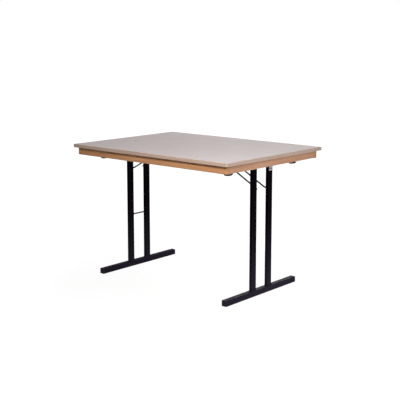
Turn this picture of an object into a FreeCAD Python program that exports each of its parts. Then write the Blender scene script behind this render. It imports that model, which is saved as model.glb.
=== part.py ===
import FreeCAD, Part
import math
import os

# Folding banquet table on two T-legs, in millimetres.
# X runs along the long side, Y along the short side, Z is up, and the origin is on the floor
# under the middle of the table.

# Overall size
table_length = 1100.0
table_width = 800.0
table_height = 740.0

# Plate: a core between two laminate sheets, with a wooden lipping all round
core_thickness = 16.4
laminate_thickness = 0.8
lipping_width = 8.0
lipping_round = 5.5
plan_corner_radius = 10.0

# Beech frame under the plate
frame_inset = 21.0
rail_height = 40.0
rail_thickness = 28.0
rail_edge_round = 3.0
corner_block_side = 60.0
corner_block_height = 34.0
corner_block_blunting = 8.0
dowel_diameter = 8.0
dowel_length = 50.0
dowel_pitch = 18.0
dowel_depth_in_long_rail = 22.0

# Steel legs
leg_inset = 103.0
post_width = 40.0
post_depth = 15.0
post_wall = 1.5
post_corner_round = 2.0
post_spacing = 131.0
foot_length = 590.0
foot_section = 30.0
foot_wall = 1.5
foot_corner_round = 2.0
pivot_tube_diameter = 22.0
pivot_tube_wall = 2.0
cross_rod_diameter = 8.0
cross_rod_height = 305.0

# Plastic caps and glides of the feet
cap_flange = 3.0
cap_edge_round = 1.2
cap_plug_length = 18.0
cap_plug_wall = 2.0
cap_plug_clearance = 0.1
glide_height = 1.0
glide_diameter = 24.0
glide_edge_bevel = 0.5
glide_stem_diameter = 8.0
glide_stem_length = 6.0
glide_setback = 32.0

# Folded legs lie in two layers under the plate, the right one on top
gap_under_plate = 5.0
gap_between_layers = 3.5

# Moulded bearing blocks of the pivot tubes
right_bearing_setback = 83.0
left_bearing_setback = 89.0
bearing_width = 42.0
bearing_depth = 26.0
bearing_wall_below = 10.0
bearing_corner_round = 14.0
bearing_edge_round = 2.0
bearing_bore_depth = 20.0
bearing_end_gap = 0.5
bearing_flange_length = 78.0
bearing_flange_width = 44.0
bearing_flange_thickness = 6.0
bearing_flange_corner = 7.0
bearing_gusset_reach = 13.0
bearing_gusset_drop = 24.0
bearing_gusset_thickness = 6.0
bearing_screw_pitch_x = 62.0
bearing_screw_pitch_y = 28.0

# Wire struts
wire_diameter = 8.0
wire_bend_radius = 10.0
strut_slope_deg = 28.6
right_strut_drop = 146.0
right_strut_run = 197.0
left_strut_drop = 100.0
left_strut_run = 170.0
strut_gap_to_post = 8.5
strut_pin_reach = 5.0

# Hangers and spring clips that hold the struts' crossbars
hanger_thickness = 2.5
hanger_bend_radius = 3.0
hanger_flange_length = 42.0
hanger_tail = 12.0
hanger_gap_to_wire = 9.0
hanger_rib_depth = 7.0
hanger_rib_run = 20.0
hanger_screw_setback = 24.5
hanger_screw_pitch = 24.0
clip_thickness = 1.5
clip_side_margin = 5.0
clip_gap_to_wire = 0.3
clip_back = 8.0
clip_jaw = 9.0
clip_lip_reach = 3.0
clip_lip_flare = 2.0
clip_bend_radius = 1.0
rivet_shank_diameter = 3.2
rivet_head_diameter = 6.0
rivet_head_height = 1.4
rivet_pitch = 16.0

# Plated stop plates on the posts
stop_thickness = 2.5
stop_width = 30.0
stop_offset = 1.5
stop_length = 80.0
stop_flat = 20.0
stop_joggle_height = 6.0
stop_tube_gap = 0.6
stop_bend_radius = 2.0
stop_screw_pitch = 11.0
stop_screw_bite = 6.0

# Screws
screw_diameter = 4.0
screw_head_diameter = 7.6
screw_head_face = 5.0
screw_head_height = 2.4
screw_bite = 12.0
pilot_extra_depth = 0.5

# Clearances
running_clearance = 0.05
glue_clearance = 0.05

# Worked-out places
plate_thickness = core_thickness + 2.0 * laminate_thickness
underside = table_height - plate_thickness
half_length = table_length / 2.0
half_width = table_width / 2.0
frame_x = half_length - frame_inset
frame_y = half_width - frame_inset
rail_bottom = underside - rail_height
inner_x = frame_x - rail_thickness
inner_y = frame_y - rail_thickness
leg_x = half_length - leg_inset
post_y = post_spacing / 2.0
post_inner_y = post_y - post_width / 2.0
foot_top = glide_height + foot_section
pivot_radius = pivot_tube_diameter / 2.0
right_pivot_z = underside - gap_under_plate - foot_section / 2.0
left_pivot_z = right_pivot_z - gap_between_layers - (foot_section + post_depth) / 2.0
bearing_bottom = left_pivot_z - pivot_radius - bearing_wall_below
wire_radius = wire_diameter / 2.0
arm_y = post_inner_y - strut_gap_to_post - wire_radius
hanger_width = 2.0 * (arm_y - wire_radius - hanger_gap_to_wire)
clip_width = hanger_width - 2.0 * clip_side_margin
strut_slope = math.radians(strut_slope_deg)
full_fold = math.radians(90.0)
screw_radius = screw_diameter / 2.0
pilot_radius = screw_radius + running_clearance

X_AXIS = FreeCAD.Vector(1, 0, 0)
Y_AXIS = FreeCAD.Vector(0, 1, 0)
Z_AXIS = FreeCAD.Vector(0, 0, 1)
ORIGIN = FreeCAD.Vector(0, 0, 0)


def point(x, y, z):
    return FreeCAD.Vector(x, y, z)


def box(low, high):
    """Solid box between two corners."""
    size = high.sub(low)
    return Part.makeBox(size.x, size.y, size.z, low)


def prism(corners, direction):
    """Extrude the flat polygon through the given corners."""
    wire = Part.makePolygon(corners + [corners[0]])
    return Part.Face(wire).extrude(direction)


def fillet_where(solid, radius, test):
    """Round the edges for which the test on the edge's box is true."""
    edges = [edge for edge in solid.Edges if test(edge.BoundBox)]
    return solid.makeFillet(radius, edges)


def flat_at_z(bounds, z):
    return abs(bounds.ZMin - z) < 1e-6 and abs(bounds.ZMax - z) < 1e-6


def flat_at_y(bounds, y):
    return abs(bounds.YMin - y) < 1e-6 and abs(bounds.YMax - y) < 1e-6


def upright(bounds):
    return bounds.ZLength > bounds.XLength + bounds.YLength


def rounded_bar(width, depth, height, corner):
    """Upright bar centred on the Z axis with rounded corners, from z = 0 up."""
    bar = Part.makeBox(width, depth, height, point(-width / 2.0, -depth / 2.0, 0.0))
    return fillet_where(bar, corner, upright)


def rectangular_tube(width, depth, height, wall, corner):
    """Upright hollow bar with an even wall."""
    inner_corner = max(corner - wall, wall / 4.0)
    outside = rounded_bar(width, depth, height, corner)
    inside = rounded_bar(width - 2.0 * wall, depth - 2.0 * wall, height, inner_corner)
    return outside.cut(inside)


def moved(shape, offset):
    copy = shape.copy()
    copy.translate(offset)
    return copy


def turned(shape, axis, degrees, centre=ORIGIN):
    copy = shape.copy()
    copy.rotate(centre, axis, degrees)
    return copy


def rounded_path(points, radii):
    """Straight runs through the points, with a tangent arc of its radius at each inner point."""
    edges = []
    start = points[0]
    for before, corner, after, radius in zip(points, points[1:], points[2:], radii):
        back = before.sub(corner).normalize()
        ahead = after.sub(corner).normalize()
        half = back.getAngle(ahead) / 2.0
        reach = radius / math.tan(half)
        middle = back.add(ahead).normalize()
        arc_start = corner.add(back.multiply(reach))
        arc_end = corner.add(ahead.multiply(reach))
        arc_top = corner.add(middle.multiply(radius / math.sin(half) - radius))
        edges.append(Part.LineSegment(start, arc_start).toShape())
        edges.append(Part.Arc(arc_start, arc_top, arc_end).toShape())
        start = arc_end
    edges.append(Part.LineSegment(start, points[-1]).toShape())
    return edges


def offset_right(points, distance):
    """The points of a line in the XZ plane, moved to its right as seen from -Y."""
    runs = [after.sub(before).normalize() for before, after in zip(points, points[1:])]
    sides = [point(run.z, 0.0, -run.x) for run in runs]
    result = [points[0].add(sides[0] * distance)]
    for corner, first, second in zip(points[1:], sides, sides[1:]):
        middle = first.add(second).normalize()
        result.append(corner.add(middle * (distance / middle.dot(first))))
    result.append(points[-1].add(sides[-1] * distance))
    return result


def turns_right(before, corner, after):
    first = corner.sub(before)
    second = after.sub(corner)
    return first.x * second.z - first.z * second.x < 0.0


def bent_sheet(points, thickness, bend_radius, width):
    """Folded strip, centred on y = 0, whose left face runs through points in the XZ plane."""
    left_radii = []
    right_radii = []
    for before, corner, after in zip(points, points[1:], points[2:]):
        inside_right = turns_right(before, corner, after)
        left_radii.append(bend_radius + thickness if inside_right else bend_radius)
        right_radii.append(bend_radius if inside_right else bend_radius + thickness)
    other_points = offset_right(points, thickness)
    left_side = rounded_path(points, left_radii)
    right_side = rounded_path(other_points, right_radii)
    ends = [
        Part.LineSegment(points[0], other_points[0]).toShape(),
        Part.LineSegment(points[-1], other_points[-1]).toShape(),
    ]
    wire = Part.Wire(Part.__sortEdges__(left_side + right_side + ends))
    sheet = Part.Face(wire).extrude(Y_AXIS * width)
    return moved(sheet, Y_AXIS * (-width / 2.0))


def screw(seat, direction, length):
    """Pan-head screw: the head stands on the seat against the direction of the shank."""
    head = Part.makeCone(
        screw_head_diameter / 2.0, screw_head_face / 2.0, screw_head_height, ORIGIN, Z_AXIS * -1.0)
    body = head.fuse(Part.makeCylinder(screw_radius, length))
    body.Placement = FreeCAD.Placement(seat, FreeCAD.Rotation(Z_AXIS, direction))
    return body


def pilot(seat, direction, depth):
    return Part.makeCylinder(pilot_radius, depth, seat, direction)


class LegPlan:
    """Sizes of one leg, laid out on the +X side; the left leg is turned half round Z afterwards."""

    def __init__(self, side, pivot_z, bearing_setback, strut_drop, strut_run, has_cross_rod):
        self.side = side
        self.pivot_z = pivot_z
        self.bearing_y = inner_y - bearing_setback
        self.bearing_near_y = self.bearing_y - bearing_depth / 2.0
        self.pivot_half_length = self.bearing_near_y + bearing_bore_depth - bearing_end_gap
        self.hinge = point(leg_x, 0.0, pivot_z - strut_drop)
        rise = strut_run * math.tan(strut_slope)
        self.bar = self.hinge.add(point(-strut_run, 0.0, rise))
        self.strut_length = strut_run / math.cos(strut_slope)
        self.has_cross_rod = has_cross_rod
        # The crossbar leaves its clip along this line when the leg starts to fold.
        swing = strut_slope / full_fold
        self.leave = point(-(strut_drop + rise * swing), 0.0, -strut_run * swing).normalize()
        self.rise_along_web = point(self.leave.z, 0.0, -self.leave.x)

    def near_bar(self, along, across):
        """A point beside the crossbar, along its way out and across that way."""
        return self.bar.add(self.leave * along).add(self.rise_along_web * across)

    def placed(self, shape):
        return turned(shape, Z_AXIS, 180.0) if self.side == "left" else shape

    def placed_point(self, place):
        return point(-place.x, -place.y, place.z) if self.side == "left" else place

    def end_name(self, local_back):
        """Front or back in the finished table of an end at local +Y or -Y."""
        at_back = local_back != (self.side == "left")
        return "back" if at_back else "front"


RIGHT = LegPlan(
    "right", right_pivot_z, right_bearing_setback, right_strut_drop, right_strut_run, False)
LEFT = LegPlan(
    "left", left_pivot_z, left_bearing_setback, left_strut_drop, left_strut_run, True)
LEGS = (LEFT, RIGHT)
SIGNS = (-1.0, 1.0)


# Plate

def lipping_pieces():
    """Four mitred strips cut from one rounded ring."""
    ring = moved(
        rounded_bar(table_length, table_width, plate_thickness, plan_corner_radius), Z_AXIS * underside)
    ring = fillet_where(
        ring, lipping_round, lambda b: flat_at_z(b, underside) or flat_at_z(b, table_height))
    ring = ring.cut(sheet_between(underside, table_height))
    middle = half_length - half_width
    lift = Z_AXIS * plate_thickness
    pieces = {}
    for name, sign in (("front", -1.0), ("back", 1.0)):
        corners = [
            point(-half_length, sign * half_width, underside),
            point(half_length, sign * half_width, underside),
            point(middle, 0.0, underside),
            point(-middle, 0.0, underside),
        ]
        pieces["edge_lipping_" + name] = ring.common(prism(corners, lift))
    for name, sign in (("left", -1.0), ("right", 1.0)):
        corners = [
            point(sign * half_length, -half_width, underside),
            point(sign * half_length, half_width, underside),
            point(sign * middle, 0.0, underside),
        ]
        pieces["edge_lipping_" + name] = ring.common(prism(corners, lift))
    return pieces


def sheet_between(low_z, high_z):
    """The plate's area inside the lipping, between two heights."""
    x = half_length - lipping_width
    y = half_width - lipping_width
    return box(point(-x, -y, low_z), point(x, y, high_z))


def plate_pieces():
    pilots = [pilot(seat, Z_AXIS, screw_bite + pilot_extra_depth) for seat in plate_screw_seats()]
    core_bottom = underside + laminate_thickness
    core_top = table_height - laminate_thickness
    return {
        "core_panel": sheet_between(core_bottom, core_top).cut(pilots),
        "top_laminate": sheet_between(core_top, table_height),
        "backing_laminate": sheet_between(underside, core_bottom).cut(pilots),
    }


def plate_screw_seats():
    """Where screws enter the underside of the plate, over both legs."""
    seats = []
    for leg in LEGS:
        local_seats = bearing_screw_seats(leg) + hanger_screw_seats(leg)
        seats += [leg.placed_point(seat) for seat in local_seats]
    return seats


# Beech frame

def dowel_holes(clearance):
    """Dowels, or their holes, across the four butt joints of the frame."""
    radius = dowel_diameter / 2.0 + clearance
    length = dowel_length + 2.0 * clearance
    start = inner_y + dowel_depth_in_long_rail + clearance
    pins = []
    for x_sign in SIGNS:
        for y_sign in SIGNS:
            for z_sign in SIGNS:
                x = x_sign * (frame_x - rail_thickness / 2.0)
                z = underside - rail_height / 2.0 + z_sign * dowel_pitch / 2.0
                seat = point(x, y_sign * start, z)
                pins.append(Part.makeCylinder(radius, length, seat, Y_AXIS * -y_sign))
    return pins


def long_rail():
    """Back rail over the full length, with its outer lower edge and outer ends rounded."""
    rail = box(point(-frame_x, inner_y, rail_bottom), point(frame_x, frame_y, underside))
    return fillet_where(
        rail, rail_edge_round,
        lambda b: flat_at_y(b, frame_y) and (flat_at_z(b, rail_bottom) or upright(b)))


def short_rail():
    """Right rail between the long ones, with its outer lower edge rounded."""
    rail = box(point(inner_x, -inner_y, rail_bottom), point(frame_x, inner_y, underside))
    return fillet_where(
        rail, rail_edge_round,
        lambda b: flat_at_z(b, rail_bottom) and b.XMin > frame_x - rail_edge_round)


def corner_blocks():
    """Blunted three-sided glue block in each corner of the frame."""
    block_bottom = underside - corner_block_height
    side = corner_block_side
    blunt = corner_block_blunting
    block = prism([
        point(inner_x, inner_y, block_bottom),
        point(inner_x - side, inner_y, block_bottom),
        point(inner_x - side, inner_y - blunt, block_bottom),
        point(inner_x - blunt, inner_y - side, block_bottom),
        point(inner_x, inner_y - side, block_bottom),
    ], Z_AXIS * corner_block_height)
    other_block = block.mirror(ORIGIN, X_AXIS)
    pair = [block, other_block]
    return Part.makeCompound(pair + [turned(one, Z_AXIS, 180.0) for one in pair])


def frame_pieces():
    holes = dowel_holes(glue_clearance)
    back = long_rail()
    right = short_rail()
    return {
        "frame_rail_back": back.cut(holes),
        "frame_rail_front": turned(back, Z_AXIS, 180.0).cut(holes),
        "frame_rail_right": right.cut(holes),
        "frame_rail_left": turned(right, Z_AXIS, 180.0).cut(holes),
        "frame_corner_blocks": corner_blocks(),
        "frame_dowels": Part.makeCompound(dowel_holes(0.0)),
    }


# Bearing blocks

def bearing_block(leg):
    """Moulded block at local +Y with a blind bore that opens towards the middle."""
    near_y = leg.bearing_near_y
    far_y = near_y + bearing_depth
    half = bearing_width / 2.0
    body = box(point(leg_x - half, near_y, bearing_bottom), point(leg_x + half, far_y, underside))
    body = fillet_where(
        body, bearing_corner_round, lambda b: flat_at_z(b, bearing_bottom) and b.YLength > b.XLength)
    body = fillet_where(
        body, bearing_edge_round, lambda b: flat_at_y(b, far_y) and not flat_at_z(b, underside))
    flange = rounded_bar(
        bearing_flange_length, bearing_flange_width, bearing_flange_thickness, bearing_flange_corner)
    flange = moved(flange, point(leg_x, leg.bearing_y, underside - bearing_flange_thickness))
    gussets = []
    for sign in SIGNS:
        top = underside - bearing_flange_thickness
        side_y = leg.bearing_y - bearing_gusset_thickness / 2.0
        edge_x = leg_x + sign * (half - bearing_edge_round)
        tip_x = leg_x + sign * (half + bearing_gusset_reach)
        gussets.append(prism([
            point(edge_x, side_y, top),
            point(tip_x, side_y, top),
            point(edge_x, side_y, top - bearing_gusset_drop),
        ], Y_AXIS * bearing_gusset_thickness))
    bore = Part.makeCylinder(
        pivot_radius + running_clearance, bearing_bore_depth, point(leg_x, near_y, leg.pivot_z), Y_AXIS)
    holes = [pilot(seat, Z_AXIS * -1.0, bearing_flange_thickness) for seat in bearing_screw_seats(leg)]
    return body.fuse([flange] + gussets).removeSplitter().cut([bore] + holes)


def bearing_screw_seats(leg):
    """Points where screws enter the plate: two, set cornerwise, in each block at local +Y and -Y."""
    seats = []
    for side in SIGNS:
        for end in SIGNS:
            x = leg_x + end * bearing_screw_pitch_x / 2.0
            y = leg.bearing_y + end * bearing_screw_pitch_y / 2.0
            seats.append(point(x, side * y, underside))
    return seats


def bearing_pieces():
    pieces = {}
    screws = []
    for leg in LEGS:
        block = bearing_block(leg)
        for local_back in (True, False):
            shape = block if local_back else block.mirror(ORIGIN, Y_AXIS)
            pieces[leg.side + "_" + leg.end_name(local_back) + "_bearing"] = leg.placed(shape)
        for seat in bearing_screw_seats(leg):
            head_seat = leg.placed_point(seat).sub(Z_AXIS * bearing_flange_thickness)
            screws.append(screw(head_seat, Z_AXIS, bearing_flange_thickness + screw_bite))
    pieces["bearing_screws"] = Part.makeCompound(screws)
    return pieces


# Hangers and spring clips of the struts

def hanger_web_face(leg):
    """Lower and upper end of the hanger's face that the clip lies on."""
    along = -(clip_back + clip_thickness)
    lower = leg.near_bar(along, -hanger_tail)
    top_reach = (underside - lower.z) / leg.rise_along_web.z
    return lower, lower.add(leg.rise_along_web * top_reach)


def hanger_screw_seats(leg):
    """Points where the screws through the hanger's flange enter the plate."""
    x = hanger_web_face(leg)[1].x + hanger_screw_setback
    return [point(x, sign * hanger_screw_pitch / 2.0, underside) for sign in SIGNS]


def rivet(leg, y):
    """Rivet through the clip's back and the hanger, with a low head at each end."""
    grip = clip_thickness + hanger_thickness
    inner = leg.near_bar(-clip_back, 0.0).add(Y_AXIS * y)
    outer = inner.sub(leg.leave * grip)
    shank = Part.makeCylinder(rivet_shank_diameter / 2.0, grip, outer, leg.leave)
    head_radius = rivet_head_diameter / 2.0
    inner_head = Part.makeCone(
        head_radius, rivet_shank_diameter / 2.0, rivet_head_height, inner, leg.leave)
    outer_head = Part.makeCone(
        head_radius, rivet_shank_diameter / 2.0, rivet_head_height, outer, leg.leave * -1.0)
    return shank.fuse([inner_head, outer_head]).removeSplitter()


def rivet_hole(leg, y):
    grip = clip_thickness + hanger_thickness
    start = leg.near_bar(-clip_back - grip, 0.0).add(Y_AXIS * y)
    return Part.makeCylinder(rivet_shank_diameter / 2.0 + running_clearance, grip, start, leg.leave)


def hanger(leg):
    """Leaning web with a flange under the plate and a stiffening rib along each side."""
    lower, corner = hanger_web_face(leg)
    end = corner.add(X_AXIS * hanger_flange_length)
    sheet = bent_sheet([lower, corner, end], hanger_thickness, hanger_bend_radius, hanger_width)
    back_lower, inside_corner, _ = offset_right([lower, corner, end], hanger_thickness)
    rib_offset = leg.leave * -hanger_rib_depth
    rib_corners = [
        back_lower,
        inside_corner,
        inside_corner.add(X_AXIS * hanger_rib_run),
        inside_corner.sub(leg.rise_along_web * hanger_rib_run).add(rib_offset),
        back_lower.add(rib_offset),
    ]
    rib = prism(rib_corners, Y_AXIS * hanger_thickness)
    ribs = [
        moved(rib, Y_AXIS * (-hanger_width / 2.0)),
        moved(rib, Y_AXIS * (hanger_width / 2.0 - hanger_thickness)),
    ]
    holes = [rivet_hole(leg, sign * rivet_pitch / 2.0) for sign in SIGNS]
    holes += [pilot(seat, Z_AXIS * -1.0, hanger_thickness) for seat in hanger_screw_seats(leg)]
    return leg.placed(sheet.fuse(ribs).removeSplitter().cut(holes))


def clip(leg):
    """Spring clip whose two jaws lie along the way that the crossbar leaves."""
    half = wire_radius + clip_gap_to_wire
    lip = clip_jaw + clip_lip_reach
    profile = [
        leg.near_bar(lip, -half - clip_lip_flare),
        leg.near_bar(clip_jaw, -half),
        leg.near_bar(-clip_back, -half),
        leg.near_bar(-clip_back, half),
        leg.near_bar(clip_jaw, half),
        leg.near_bar(lip, half + clip_lip_flare),
    ]
    strip = bent_sheet(profile, clip_thickness, clip_bend_radius, clip_width)
    return leg.placed(strip.cut([rivet_hole(leg, sign * rivet_pitch / 2.0) for sign in SIGNS]))


def hanger_pieces():
    pieces = {}
    screws = []
    rivets = []
    for leg in LEGS:
        pieces[leg.side + "_strut_hanger"] = hanger(leg)
        pieces[leg.side + "_strut_clip"] = clip(leg)
        rivets += [leg.placed(rivet(leg, sign * rivet_pitch / 2.0)) for sign in SIGNS]
        for seat in hanger_screw_seats(leg):
            head_seat = leg.placed_point(seat).sub(Z_AXIS * hanger_thickness)
            screws.append(screw(head_seat, Z_AXIS, hanger_thickness + screw_bite))
    pieces["clip_rivets"] = Part.makeCompound(rivets)
    pieces["hanger_screws"] = Part.makeCompound(screws)
    return pieces


# Legs

def post(leg, sign):
    """Flat tube from the foot up to a saddle cut under the pivot tube."""
    tube = rectangular_tube(post_depth, post_width, leg.pivot_z - foot_top, post_wall, post_corner_round)
    tube = moved(tube, point(leg_x, sign * post_y, foot_top))
    saddle = Part.makeCylinder(
        pivot_radius, post_width, point(leg_x, sign * post_y - post_width / 2.0, leg.pivot_z), Y_AXIS)
    pin_hole = Part.makeCylinder(
        wire_radius + running_clearance, post_width / 2.0,
        point(leg_x, sign * post_inner_y, leg.hinge.z), Y_AXIS * sign)
    cuts = [saddle, pin_hole]
    # Only the post at local +Y carries the stop plate.
    if sign > 0.0:
        depth = post_depth / 2.0
        cuts += [pilot(seat, X_AXIS * -1.0, depth) for seat in stop_screw_seats()]
    return tube.cut(cuts)


def foot_tube():
    length = foot_length - 2.0 * cap_flange
    tube = rectangular_tube(foot_section, foot_section, length, foot_wall, foot_corner_round)
    tube = turned(tube, X_AXIS, -90.0)
    tube = moved(tube, point(leg_x, -length / 2.0, glide_height + foot_section / 2.0))
    radius = glide_stem_diameter / 2.0 + running_clearance
    stems = [Part.makeCylinder(radius, foot_section / 2.0, seat) for seat in glide_seats()]
    return tube.cut(stems)


def glide_seats():
    y = foot_length / 2.0 - glide_setback
    return [point(leg_x, sign * y, glide_height) for sign in SIGNS]


def glide(seat):
    """Disc with a bevelled sole and a stem that plugs into the foot, turned round its axis."""
    rim = glide_diameter / 2.0
    stem = glide_stem_diameter / 2.0
    top = glide_height + glide_stem_length
    outline = [
        ORIGIN,
        point(rim - glide_edge_bevel, 0.0, 0.0),
        point(rim, 0.0, glide_edge_bevel),
        point(rim, 0.0, glide_height),
        point(stem, 0.0, glide_height),
        point(stem, 0.0, top),
        point(0.0, 0.0, top),
    ]
    profile = Part.Face(Part.makePolygon(outline + [ORIGIN]))
    return moved(profile.revolve(ORIGIN, Z_AXIS, 360.0), point(seat.x, seat.y, 0.0))


def foot_cap():
    """End plug at local +Y: a rounded flange and a hollow plug inside the tube."""
    flange = rounded_bar(foot_section, foot_section, cap_flange, foot_corner_round)
    flange = fillet_where(flange, cap_edge_round, lambda b: flat_at_z(b, cap_flange))
    plug_size = foot_section - 2.0 * (foot_wall + cap_plug_clearance)
    plug_corner = max(foot_corner_round - foot_wall, foot_wall / 4.0)
    plug = rectangular_tube(plug_size, plug_size, cap_plug_length, cap_plug_wall, plug_corner)
    plug = moved(plug, Z_AXIS * -cap_plug_length)
    cap = turned(flange.fuse(plug).removeSplitter(), X_AXIS, -90.0)
    return moved(cap, point(leg_x, foot_length / 2.0 - cap_flange, glide_height + foot_section / 2.0))


def pivot_tube(leg):
    start = point(leg_x, -leg.pivot_half_length, leg.pivot_z)
    length = 2.0 * leg.pivot_half_length
    outside = Part.makeCylinder(pivot_radius, length, start, Y_AXIS)
    inside = Part.makeCylinder(pivot_radius - pivot_tube_wall, length, start, Y_AXIS)
    return outside.cut(inside)


def cross_rod():
    start = point(leg_x, -post_inner_y, cross_rod_height)
    return Part.makeCylinder(cross_rod_diameter / 2.0, 2.0 * post_inner_y, start, Y_AXIS)


def stop_screw_seats():
    """Points on the outer face of the local +Y post."""
    z = underside - stop_length + stop_flat / 2.0
    y = post_y + stop_offset
    return [point(leg_x + post_depth / 2.0, y + sign * stop_screw_pitch / 2.0, z) for sign in SIGNS]


def stop_plate():
    """Joggled plate: flat on the post, clear of the pivot tube, end against the underside."""
    near = leg_x + post_depth / 2.0
    far = leg_x + pivot_radius + stop_tube_gap
    bottom = underside - stop_length
    profile = [
        point(near, 0.0, bottom),
        point(near, 0.0, bottom + stop_flat),
        point(far, 0.0, bottom + stop_flat + stop_joggle_height),
        point(far, 0.0, underside),
    ]
    plate = bent_sheet(profile, stop_thickness, stop_bend_radius, stop_width)
    plate = moved(plate, Y_AXIS * (post_y + stop_offset))
    return plate.cut([pilot(seat, X_AXIS, stop_thickness) for seat in stop_screw_seats()])


def stop_screws():
    seats = [seat.add(X_AXIS * stop_thickness) for seat in stop_screw_seats()]
    return Part.makeCompound([screw(seat, X_AXIS * -1.0, stop_thickness + stop_screw_bite) for seat in seats])


def leg_pieces(leg):
    pieces = {}
    cap = foot_cap()
    for local_back, sign in ((False, -1.0), (True, 1.0)):
        end = leg.end_name(local_back)
        pieces["post_" + end] = post(leg, sign)
        pieces["foot_cap_" + end] = cap if local_back else cap.mirror(ORIGIN, Y_AXIS)
    pieces["foot_tube"] = foot_tube()
    pieces["pivot_tube"] = pivot_tube(leg)
    pieces["foot_glides"] = Part.makeCompound([glide(seat) for seat in glide_seats()])
    pieces["stop_plate"] = stop_plate()
    pieces["stop_screws"] = stop_screws()
    if leg.has_cross_rod:
        pieces["cross_rod"] = cross_rod()
    pieces["strut_bail"] = strut_bail(leg)
    return {leg.side + "_" + name: leg.placed(shape) for name, shape in pieces.items()}


# Wire struts

def strut_bail(leg):
    """One bent wire: a pin into each post, two arms and a crossbar, all in one plane."""
    pin_y = post_inner_y + post_wall + strut_pin_reach
    route = []
    for y, along in ((-pin_y, 0.0), (-arm_y, 0.0), (-arm_y, 1.0), (arm_y, 1.0), (arm_y, 0.0), (pin_y, 0.0)):
        route.append(leg.hinge.add(leg.bar.sub(leg.hinge) * along).add(Y_AXIS * y))
    path = Part.Wire(rounded_path(route, [wire_bend_radius] * (len(route) - 2)))
    section = Part.Wire(Part.makeCircle(wire_radius, route[0], Y_AXIS))
    return path.makePipeShell([section], True, False)


def all_pieces():
    pieces = {}
    pieces.update(plate_pieces())
    pieces.update(lipping_pieces())
    pieces.update(frame_pieces())
    pieces.update(bearing_pieces())
    pieces.update(hanger_pieces())
    for leg in LEGS:
        pieces.update(leg_pieces(leg))
    return pieces


os.makedirs("parts", exist_ok=True)
for name, shape in all_pieces().items():
    shape.exportStep("parts/" + name + ".step")
    print(name, len(shape.Solids), round(shape.Volume), shape.isValid())
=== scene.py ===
import logging
import math
from dataclasses import dataclass
from enum import Enum
from typing import Callable, Optional, Union

import bmesh
import bpy
from mathutils import Matrix, Vector


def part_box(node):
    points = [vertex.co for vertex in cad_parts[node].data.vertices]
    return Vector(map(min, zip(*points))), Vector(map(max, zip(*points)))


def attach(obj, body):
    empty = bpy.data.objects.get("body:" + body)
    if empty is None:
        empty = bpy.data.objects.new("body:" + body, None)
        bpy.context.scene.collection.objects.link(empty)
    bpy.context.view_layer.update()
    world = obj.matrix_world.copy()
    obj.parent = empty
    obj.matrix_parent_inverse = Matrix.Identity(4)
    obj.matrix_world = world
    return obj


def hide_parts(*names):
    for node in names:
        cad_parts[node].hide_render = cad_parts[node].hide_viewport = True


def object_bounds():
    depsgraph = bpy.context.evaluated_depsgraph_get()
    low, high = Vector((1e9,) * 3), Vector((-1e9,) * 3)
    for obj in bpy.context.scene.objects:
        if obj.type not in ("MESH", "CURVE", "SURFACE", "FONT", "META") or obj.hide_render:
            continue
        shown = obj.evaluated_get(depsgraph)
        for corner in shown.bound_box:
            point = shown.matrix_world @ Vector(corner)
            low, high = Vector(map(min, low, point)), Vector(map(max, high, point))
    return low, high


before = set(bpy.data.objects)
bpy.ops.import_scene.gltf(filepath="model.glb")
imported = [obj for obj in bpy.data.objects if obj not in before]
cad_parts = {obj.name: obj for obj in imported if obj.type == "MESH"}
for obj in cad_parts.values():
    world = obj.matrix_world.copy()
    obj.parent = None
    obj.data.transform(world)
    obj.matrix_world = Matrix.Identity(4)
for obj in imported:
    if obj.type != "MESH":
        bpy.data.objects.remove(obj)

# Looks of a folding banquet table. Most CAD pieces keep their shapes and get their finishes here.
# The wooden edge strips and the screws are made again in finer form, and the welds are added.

CAD_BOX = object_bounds()
LOG = logging.getLogger("banquet_table")
MM = 0.001
TINY = 1e-6
SORT_DIGITS = 5

Colour = tuple[float, float, float, float]
Triple = tuple[float, float, float]
Pair = tuple[float, float]
Socket = bpy.types.NodeSocket
Value = Union[Socket, float, Colour]

WHITE: Colour = (1.0, 1.0, 1.0, 1.0)


class Grain(Enum):
    """The way that a board's fibres run, as an index into X, Y and Z."""

    ALONG_X = 0
    ALONG_Y = 1


class Side(Enum):
    """One end of the table, in the word that the frame's nodes have for it."""

    LEFT = "left"
    RIGHT = "right"


class PlateEdge(Enum):
    """A side of the plate, with the direction that it faces."""

    FRONT = (0.0, -1.0, 0.0)
    BACK = (0.0, 1.0, 0.0)
    LEFT = (-1.0, 0.0, 0.0)
    RIGHT = (1.0, 0.0, 0.0)


class RayKind(Enum):
    """Rays that see the plain white surroundings instead of the working light."""

    CAMERA = "Is Camera Ray"
    GLOSSY = "Is Glossy Ray"
    TRANSMISSION = "Is Transmission Ray"


def display_colour(red: int, green: int, blue: int) -> Colour:
    """Turn a display colour into the linear one that shaders use.

    Args:
        red: Red from 0 to 255.
        green: Green from 0 to 255.
        blue: Blue from 0 to 255.

    Returns:
        Linear colour with full alpha.
    """
    full, toe, toe_slope, lift, power = 255.0, 0.04045, 12.92, 0.055, 2.4

    def linear(channel: int) -> float:
        """One channel of the display curve, undone."""
        share = channel / full
        return share / toe_slope if share <= toe else ((share + lift) / (1.0 + lift)) ** power

    return (linear(red), linear(green), linear(blue), 1.0)


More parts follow.
